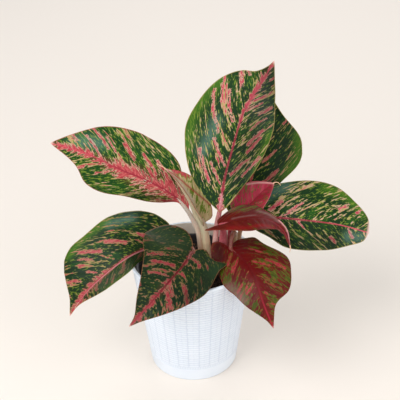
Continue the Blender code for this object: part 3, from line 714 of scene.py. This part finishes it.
CREAM = dict(GREEN, **tones(
    dark=(172, 152, 108), mid=(194, 176, 134), line=(146, 48, 54), lime_zone=(142, 140, 78),
    lime=(116, 132, 58), cream=(92, 112, 38), light=(104, 122, 46), pink=(184, 84, 84),
    deep=(160, 58, 62), heart=(198, 180, 152), rib=(190, 174, 146), rib_bright=(180, 120, 106),
    edge=(160, 60, 62), tip=(216, 168, 156), grey=(186, 170, 158), shade=(190, 176, 150),
    under=(190, 176, 146), under_vein=(200, 188, 160), under_rib=(206, 192, 166),
))
LOOKS = dict(green=GREEN, light=LIGHT, deep=SHADED_GREEN, shaded_dull=SHADED_DULL_GREEN, red=RED, young=YOUNG, cream=CREAM)
# back and left_lower take the darker palette and front_left the darker, duller one, as painted shade;
# left_upper takes its own lighter palette with a pink edge.
TONES = {"left_upper": "light", "back": "deep", "left_lower": "deep", "front_left": "shaded_dull"}
HABIT_WORDS = ("amount", "dots", "push", "heart", "blush", "streaks")
# How strongly each leaf is flecked and dotted, how its midrib zone changes that and tints the ground, how
# readily a fleck turns pink, and how many pink and cream streaks each side has.
HABITS = {
    "left_upper": (-0.02, 0.07, 0.1, 0.6, 0.1, (8, 2)),
    "top": (-0.035, 0.035, 0.1, 0.5, 0.05, (9, 6)),
    "back": (-0.045, 0.03, 0.1, 0.4, 0.05, (5, 3)),
    "right": (-0.04, 0.045, 0.1, 0.4, -0.1, (4, 6)),
    "left_lower": (-0.045, 0.04, 0.1, 0.5, 0.1, (7, 4)),
    "front_left": (-0.035, 0.035, 0.1, 0.6, 0.15, (5, 4)),
    "front_right": (0.05, 0.03, -0.2, 0.8, -0.1, (4, 5)),
    "small_right": (-0.06, -0.04, -0.2, 0.7, -0.2, (0, 0)),
    "young_pink": (-0.05, 0.07, -0.1, 0.2, -0.1, (1, 2)),
    "young_rolled": (-0.06, 0.02, -0.1, 0.5, -0.2, (0, 0)),
}
HABITS = {name: dict(zip(HABIT_WORDS, habit)) for name, habit in HABITS.items()}


def swept(path, radii, sides):
    """Rings of points along a path: (sides, rings, 3), with a flattened closing ring at either end."""
    run = np.gradient(path, axis=0)
    run /= np.linalg.norm(run, axis=1)[:, None]
    side = np.cross(run[0], (0.0, 1.0, 0.0))
    rings = []
    angles = np.linspace(0, 2 * math.pi, sides, endpoint=False)
    for point, ahead, radius in zip(path, run, radii):
        side = side - (side @ ahead) * ahead
        side /= np.linalg.norm(side)
        up = np.cross(ahead, side)
        rings.append(point + radius * (np.cos(angles)[:, None] * side + np.sin(angles)[:, None] * up))
    rings = [np.repeat(path[:1], sides, axis=0), *rings, np.repeat(path[-1:], sides, axis=0)]
    return np.stack(rings, axis=1)


STALK_RINGS = 90
STALK_SIDES = 20
THREAD_RINGS = 24


def stalk(name, path, radii, look, shape):
    """A leaf stalk that rises from the mix, passes under the blade's base and thins out as its midrib."""
    lower = np.array(path, float) * MM
    foot = lower[0] - (lower[1] - lower[0]) * (11 * MM) / np.linalg.norm(lower[1] - lower[0])
    reach = 0.86 * shape.length
    along = np.linspace(0.03 * shape.length, reach, 9)
    point, up, _ = shape.frame(along)
    thin = np.interp(along, (0, shape.length), (radii[1], 0.35)) * MM
    drop = thin * np.clip(along / (0.12 * shape.length), 0.3, 1.0) + 0.2 * MM
    knots = np.vstack([foot, lower[:-1], point - up * drop[:, None]])
    line = smooth(knots, STALK_RINGS)
    gone = np.concatenate([[0], np.cumsum(np.linalg.norm(np.diff(line, axis=0), axis=1))])
    grown = np.linalg.norm(np.diff(np.vstack([foot, lower]), axis=0), axis=1).sum()
    stations = (0, 0.25 * grown, grown, gone[-1])
    radius = np.interp(gone, stations, (radii[0] * 1.18, radii[0], radii[1], 0.45)) * MM
    points = swept(line, radius, STALK_SIDES)
    share = np.concatenate([[0], gone / grown, [gone[-1] / grown]])
    height = np.tile(share, (STALK_SIDES, 1))
    around = np.tile(np.arange(STALK_SIDES)[:, None] / STALK_SIDES, (1, points.shape[1]))
    mesh = grid_mesh(
        f"petiole_{name}",
        points,
        wrap=True,
        fields={"height": height},
        uvs={"length": np.stack([around, height * grown / UV_SIZE], axis=-1)},
    )
    slot = "stalk_pink" if name in PINK_SLOT else "stalk_cream"
    piece(f"petiole_{name}", cleaned(mesh), [STALK_LOOKS[look]], slot, f"stalk_{name}")


def thread(name, points, material):
    """The pale dry thread at a young leaf's tip."""
    line = smooth(np.array(points) * MM, THREAD_RINGS)
    radius = np.linspace(0.75, 0.25, THREAD_RINGS) * MM
    mesh = grid_mesh(f"thread_{name}", swept(line, radius, 10), wrap=True)
    piece(f"thread_{name}", cleaned(mesh), [material], "stalk_cream")


# The colours of each kind of stalk: at its foot, its middle and its top, and of the fine lines along it.
STALK_TONES = {
    "cream": ((246, 200, 160), (222, 200, 174), (204, 192, 178), (216, 156, 136)),
    "green": ((246, 200, 160), (220, 200, 160), (192, 182, 150), (206, 150, 126)),
    "blush": ((216, 140, 126), (222, 172, 162), (190, 106, 114), (226, 188, 170)),
    "dusk": ((200, 120, 108), (190, 110, 104), (110, 42, 44), (206, 150, 130)),
    "magenta": ((206, 112, 106), (196, 92, 102), (164, 58, 70), (208, 132, 134)),
    "olive": ((196, 136, 112), (158, 128, 92), (124, 46, 42), (122, 112, 62)),
}


def stalk_material(name, low, middle, high, lines):
    """A smooth fleshy stalk, low to high, with fine lines of another colour along it."""
    g = Graph(name)
    height = g.field("height")
    place = g.place()
    streaks = g.noise(g.stretch(place, (900, 900, 38)), 1, 3, 0.6)
    mottle = g.noise(g.stretch(place, (160, 160, 70)), 1, 2, 0.5)
    g.colour = g.mix(g.step(height, 0.05, 0.5), low, middle)
    g.paint(g.step(height, 0.55, 1.0), high)
    g.paint(g.times(g.step(streaks, 0.48, 0.62), 0.45), lines)
    g.paint(g.times(g.step(mottle, 0.5, 0.7), 0.3), high)
    rough = g.plus(0.38, g.times(streaks, 0.12))
    return g.finish(rough, g.bump(streaks, 0.00025, 0.5))


def pot_outside(height):
    return POT_FOOT_RADIUS + (POT_TOP_RADIUS - POT_LIP - POT_FOOT_RADIUS) * height / POT_HEIGHT


def build_pot(material):
    """The outer pot: a plain foot band and lip, and between them strands woven round upright ribs."""
    sides = WEAVE_COLUMNS * 12
    angle = np.linspace(0, 2 * math.pi, sides, endpoint=False)[:, None]
    weave = np.linspace(WEAVE_BOTTOM, WEAVE_TOP, WEAVE_ROWS * 6 + 1)
    low = np.array([0.0, 0.3, 1.0, 2.0, 6.0, 12.0, 18.0, 19.2, 19.8]) * MM
    top = np.array([157.0, 157.6, 158.2]) * MM
    height = np.concatenate([low, weave, top])
    row = (height - WEAVE_BOTTOM) / (WEAVE_TOP - WEAVE_BOTTOM) * WEAVE_ROWS
    inside = (height > WEAVE_BOTTOM - 1e-6) & (height < WEAVE_TOP + 1e-6)
    cell = angle / (2 * math.pi) * WEAVE_COLUMNS + 0.5
    across = np.abs((cell % 1) - 0.5) * 2
    odd = (np.floor(cell) % 2 > 0.5) != (np.floor(row) % 2 > 0.5)[None, :]
    strand = np.abs(np.sin(math.pi * row))[None, :] ** 0.55
    pillow = 1 - 0.2 * across**2 - np.where(odd, 0.24, 0.0)
    groove = np.exp(-(((1 - across) / 0.1) ** 2))
    midline = 0.4 * np.exp(-((across / 0.1) ** 2))
    wave = 0.04 * np.sin(9 * angle) * np.sin(0.7 * row)[None, :]
    rise = np.clip(strand * pillow - 0.6 * groove - 0.7 * midline + wave, 0, 1)
    stakes = 0.5 + 0.5 * np.cos(2 * math.pi * cell * 4)
    rise = np.where((row < 1)[None, :], np.clip(0.25 + 0.6 * stakes * strand, 0, 1), rise)
    dip = np.where(inside[None, :], WEAVE_DEPTH * (1 - rise), 0.0)
    radius = pot_outside(height)[None, :] - dip
    radius[:, 0] = POT_FOOT_RADIUS - 1.0 * MM
    radius[:, 1] = POT_FOOT_RADIUS - 0.35 * MM
    # Painted shade: how deep each point lies in the weave, stored as the groove field that darkens the
    # recesses.
    recess_shade = np.where(inside[None, :], 1 - rise, 0.0) * np.ones_like(angle)
    inner = pot_outside(POT_HEIGHT) - POT_WALL
    inner_foot = pot_outside(POT_FLOOR) - POT_WALL
    brim = POT_HEIGHT / MM
    floor = POT_FLOOR / MM
    close = [
        (POT_TOP_RADIUS - 0.35 * MM, brim - 3.55),
        (POT_TOP_RADIUS, brim - 3),
        (POT_TOP_RADIUS, brim - 1),
        (POT_TOP_RADIUS - 0.3 * MM, brim - 0.3),
        (POT_TOP_RADIUS - POT_LIP, brim),
        (inner + POT_LIP, brim),
        (inner + 0.3 * MM, brim - 0.3),
        (inner, brim - 1),
        (inner - 0.15 * (inner - inner_foot), 138.0),
        (inner_foot, floor + 0.6),
        (inner_foot - 0.6 * MM, floor),
        (0.0, floor),
    ]
    foot = [(0.0, 0.0), (50 * MM, 0.0)]
    columns = []
    for ring in range(sides):
        profile = [*foot, *((r, h / MM) for r, h in zip(radius[ring], height)), *close]
        turn = angle[ring, 0]
        columns.append([(r * math.cos(turn), r * math.sin(turn), h * MM) for r, h in profile])
    pad = np.zeros((sides, len(foot)))
    tail = np.zeros((sides, len(close)))
    # Painted shade: marks the inner wall's points, which the pot's material tints as lying in shade.
    inner_wall_shade = np.broadcast_to(np.arange(len(close)) > 5, tail.shape) * 1.0
    fields = {
        "groove": np.concatenate([pad, recess_shade, tail], axis=1),
        "inside": np.concatenate([pad, 0 * recess_shade, inner_wall_shade], axis=1),
    }
    mesh = grid_mesh("woven_pot", np.array(columns), wrap=True, fields=fields)
    piece("woven_pot", cleaned(mesh, 0.00001), [material], "pot_white", "pot")


def turned(name, profile, sides, material, slot, *nodes):
    """A turned solid. profile: (radius, height) points in millimetres, from the axis round to the axis."""
    angles = np.linspace(0, 2 * math.pi, sides, endpoint=False)
    radius = np.array([point[0] for point in profile]) * MM
    height = np.array([point[1] for point in profile]) * MM
    across = np.cos(angles)[:, None] * radius
    deep = np.sin(angles)[:, None] * radius
    mesh = grid_mesh(name, np.stack([across, deep, height + 0 * across], axis=-1), wrap=True)
    piece(name, cleaned(mesh), [material], slot, *nodes)
    mesh.set_sharp_from_angle(angle=math.radians(40))


def build_nursery_pot(material):
    top = (NURSERY_FLOOR + NURSERY_HEIGHT) / MM
    wall = (NURSERY_TOP_RADIUS - NURSERY_RIM) / MM
    rim = NURSERY_TOP_RADIUS / MM
    foot = NURSERY_FOOT_RADIUS / MM
    floor = NURSERY_FLOOR / MM
    thick = NURSERY_WALL / MM
    under = top - NURSERY_RIM_HEIGHT / MM
    profile = [
        (0, floor + thick),
        (foot - thick, floor + thick),
        (wall - thick, top - 0.4),
        (wall - thick + 0.5, top),
        (rim - 0.6, top),
        (rim, top - 0.6),
        (rim, under + 0.3),
        (rim - 0.3, under),
        (wall, under),
        (foot + 1.2, floor + 8),
        (foot, floor + 0.8),
        (foot - 0.8, floor),
        (0, floor),
    ]
    turned("grower_pot", profile, 128, material, "nursery_black", "nursery_pot")


def soil_height(x, y):
    edge = (x * x + y * y) / NURSERY_TOP_RADIUS**2
    humps = np.sin(95 * x + 1.3) * np.cos(80 * y - 0.4) + 0.5 * np.sin(170 * (x + y))
    return SOIL_TOP - SOIL_EDGE_DROP * edge + 1.6 * MM * humps * (1 - edge)


def build_soil(material, bits_material):
    """The mix: a rough crumbly surface, and the bark and peat crumbs that lie on it."""
    draw = np.random.default_rng(7)
    sides, rings = 220, 74
    angles = np.linspace(0, 2 * math.pi, sides, endpoint=False)[:, None]
    radius = np.linspace(0, SOIL_RADIUS, rings)[None, :]
    x = np.cos(angles) * radius
    y = np.sin(angles) * radius
    rough = sum(
        size * np.sin(wave * (x * math.cos(turn) + y * math.sin(turn)) + start)
        for size, wave, turn, start in zip(
            (0.5, 0.45, 0.4, 0.35, 0.3, 0.3),
            (420, 530, 760, 910, 1250, 1430),
            (0.3, 1.7, 2.6, 0.9, 2.1, 1.2),
            (0.1, 2.0, 0.7, 1.9, 2.8, 0.4),
        )
    )
    z = soil_height(x, y) - 1.2 * MM + rough * 0.55 * MM
    top = np.stack([x, y, z], axis=-1)
    wall = [(SOIL_RADIUS - 1.5 * MM, 120), (50 * MM, SOIL_BOTTOM), (0, SOIL_BOTTOM)]
    ring = np.concatenate([np.cos(angles), np.sin(angles)], axis=1)
    ends = [np.concatenate([ring * r, 0 * angles + h * MM], axis=1) for r, h in wall]
    ends = np.stack(ends, axis=1)
    mesh = grid_mesh("potting_mix", np.concatenate([top, ends], axis=1), wrap=True)
    piece("potting_mix", cleaned(mesh), [material], "potting_mix", "soil")

    seed = bmesh.new()
    bmesh.ops.create_icosphere(seed, subdivisions=1, radius=1)
    ball = np.array([vertex.co for vertex in seed.verts])
    faces = np.array([[vertex.index for vertex in face.verts] for face in seed.faces])
    seed.free()
    points, tris, shades = [], [], []
    for number in range(CRUMBS):
        turn = draw.uniform(0, 2 * math.pi)
        far = (SOIL_RADIUS - 2.5 * MM) * math.sqrt(draw.uniform(0, 1))
        x, y = far * math.cos(turn), far * math.sin(turn)
        size = draw.uniform(0.7, 1.7) if number % 6 else draw.uniform(1.6, 2.9)
        shape = ball * (1 + 0.35 * draw.standard_normal((len(ball), 1)))
        shape = shape * np.array([draw.uniform(0.8, 1.6), draw.uniform(0.6, 1.1), draw.uniform(0.35, 0.7)])
        about = Matrix.Rotation(draw.uniform(0, 6.3), 3, "Z")
        spin = np.array(about @ Matrix.Rotation(draw.uniform(-0.6, 0.6), 3, "X"))
        place = np.array([x, y, soil_height(x, y) - 0.9 * MM + draw.uniform(-0.2, 0.8) * MM])
        points.append(shape @ spin.T * size * MM + place)
        tris.append(faces + number * len(ball))
        shades.append(np.full(len(ball), draw.uniform(0, 1)))
    mesh = bpy.data.meshes.new("bark_crumbs")
    mesh.from_pydata(np.concatenate(points).tolist(), [], np.concatenate(tris).tolist())
    tone = mesh.attributes.new("tone", "FLOAT", "POINT")
    tone.data.foreach_set("value", np.concatenate(shades).astype(np.float32))
    piece("bark_crumbs", mesh, [bits_material], "potting_mix")
    mesh.set_sharp_from_angle(angle=math.radians(30))


def build_canes(material):
    """Short stumps, ringed where old leaves have fallen."""
    for name, (x, y) in CANES.items():
        _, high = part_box(name)
        heights = np.linspace(CANE_BOTTOM, high.z - 0.6 * MM, CANE_RINGS)
        part = (heights - heights[0]) / (heights[-1] - heights[0])
        rings = 0.25 * MM * np.abs(np.sin(part * math.pi * 5)) ** 0.5
        radius = (4.4 - 0.9 * part) * MM - 0.25 * MM + rings
        radius[-3:] *= (0.96, 0.85, 0.55)
        path = np.stack([x * MM + 0 * heights, y * MM + 0 * heights, heights], axis=-1)
        mesh = grid_mesh(f"stump_{name}", swept(path, radius, 24), wrap=True)
        piece(f"stump_{name}", cleaned(mesh), [material], "cane", name)


def pot_material():
    g = Graph("woven_white_plastic")
    place = g.place()
    groove = g.field("groove")
    cloud = g.noise(place, 30, 3, 0.5)
    grain = g.noise(place, 1400, 2, 0.5)
    g.colour = g.mix(g.step(cloud, 0.3, 0.7), srgb(228, 236, 246), srgb(232, 239, 248))
    # Painted shade: the weave's recesses are tinted a darker blue-grey.
    g.paint(g.times(g.step(groove, 0.3, 1.0), 0.42), srgb(178, 192, 214))
    # Painted shade: the inner wall is tinted warmer and a little darker.
    g.paint(g.field("inside"), srgb(240, 230, 218))
    rough = g.plus(0.36, g.times(grain, 0.12))
    return g.finish(rough, g.bump(grain, 0.00008, 0.5))


def nursery_material():
    g = Graph("grower_pot_plastic")
    place = g.place()
    scuffs = g.noise(g.stretch(place, (60, 60, 500)), 1, 3, 0.6)
    dust = g.noise(place, 220, 3, 0.6)
    g.colour = g.mix(g.step(scuffs, 0.4, 0.7), srgb(44, 44, 47), srgb(66, 66, 70))
    g.paint(g.times(g.step(dust, 0.55, 0.75), 0.35), srgb(92, 84, 76))
    return g.finish(g.plus(0.4, g.times(dust, 0.2)), g.bump(scuffs, 0.0001, 0.4))


def soil_material():
    g = Graph("mix_ground")
    place = g.place()
    coarse = g.noise(place, 420, 4, 0.65)
    g.colour = g.mix(g.step(coarse, 0.35, 0.7), srgb(30, 22, 18), srgb(66, 50, 38))
    return g.finish(0.95, g.bump(coarse, 0.0012, 0.9))


def crumb_material():
    g = Graph("mix_crumbs")
    place = g.place()
    grain = g.noise(g.stretch(place, (900, 900, 500)), 1, 3, 0.6)
    tone = g.field("tone")
    g.colour = g.mix(g.step(tone, 0.0, 0.75), srgb(36, 27, 22), srgb(74, 54, 40))
    g.paint(g.step(tone, 0.9, 0.96), srgb(126, 96, 70))
    g.paint(g.times(g.step(grain, 0.45, 0.65), 0.4), srgb(24, 18, 15))
    return g.finish(0.9, g.bump(grain, 0.0004, 0.7))


def cane_material():
    g = Graph("ringed_cane")
    place = g.place()
    rings = g.noise(g.stretch(place, (60, 60, 700)), 1, 3, 0.6)
    g.colour = g.mix(g.step(rings, 0.35, 0.65), srgb(126, 112, 70), srgb(164, 142, 102))
    return g.finish(0.6, g.bump(rings, 0.0004, 0.7))


def build_stage():
    mesh = bpy.data.meshes.new("floor")
    corners = [(x * FLOOR_HALF, y * FLOOR_HALF, 0) for x, y in ((-1, -1), (1, -1), (1, 1), (-1, 1))]
    mesh.from_pydata(corners, [], [(0, 1, 2, 3)])
    floor = shown("floor", mesh)
    g = Graph("pale_floor")
    g.colour = srgb(240, 231, 221)
    mesh.materials.append(g.finish(0.85))


def soft_light(name, place, target, size, power, colour=(1, 1, 1)):
    light = bpy.data.lights.new(name, "AREA")
    light.shape = "SQUARE"
    light.size = size
    light.energy = power
    light.color = colour
    made = shown(name, light)
    made.location = place
    made.rotation_euler = (Vector(target) - Vector(place)).to_track_quat("-Z", "Y").to_euler()


def build_lights():
    world = bpy.data.worlds.new("studio")
    bpy.context.scene.world = world
    world.use_nodes = True
    back = world.node_tree.nodes["Background"]
    back.inputs[0].default_value = (0.95, 0.97, 1.0, 1)
    back.inputs[1].default_value = 0.66
    middle = (0.02, 0, 0.22)
    soft_light("key", (-1.1, -1.0, 1.7), middle, 1.5, 26)
    soft_light("fill", (1.5, -1.1, 1.1), middle, 1.6, 9, (1.0, 0.98, 0.95))
    soft_light("front", (0.1, -1.9, 0.75), middle, 1.2, 4)
    soft_light("rim", (0.3, 1.6, 1.5), middle, 1.4, 8)


def build_camera():
    lean = math.radians(VIEW_HEIGHT)
    roll = math.radians(VIEW_ROLL)
    ahead = Vector((0, math.cos(lean), -math.sin(lean)))
    right = Vector((1, 0, 0))
    up = Vector((0, math.sin(lean), math.cos(lean)))
    turned_right = right * math.cos(roll) + up * math.sin(roll)
    turned_up = up * math.cos(roll) - right * math.sin(roll)
    data = bpy.data.cameras.new("view")
    data.lens = LENS
    data.sensor_width = 36
    camera = shown("view", data)
    place = Vector(VIEW_TARGET) - ahead * VIEW_DISTANCE
    rows = [turned_right, turned_up, -ahead, place]
    camera.matrix_world = Matrix([[row[axis] for row in rows] for axis in range(3)] + [[0, 0, 0, 1]])
    bpy.context.scene.camera = camera


bpy.context.scene.view_settings.view_transform = "Standard"
build_camera()
build_lights()
build_stage()
STALK_LOOKS = {
    name: stalk_material(f"stalk_{name}", *(srgb(*colour) for colour in colours))
    for name, colours in STALK_TONES.items()
}
build_pot(pot_material())
build_nursery_pot(nursery_material())
build_soil(soil_material(), crumb_material())
build_canes(cane_material())
for number, (name, leaf) in enumerate(LEAVES.items()):
    palette = LOOKS[TONES.get(name, leaf["look"])]
    top = leaf_material(f"blade_top_{name}", palette, number + 1, HABITS[name])
    under = leaf_material(f"blade_under_{name}", palette, number + 1, HABITS[name], under=True)
    shape = blade(name, leaf, number, [top, under])
    path, radii, look = STALKS[name]
    stalk(name, path, radii, look, shape)
for name, points in THREADS.items():
    thread(name, points, STALK_LOOKS["cream"])
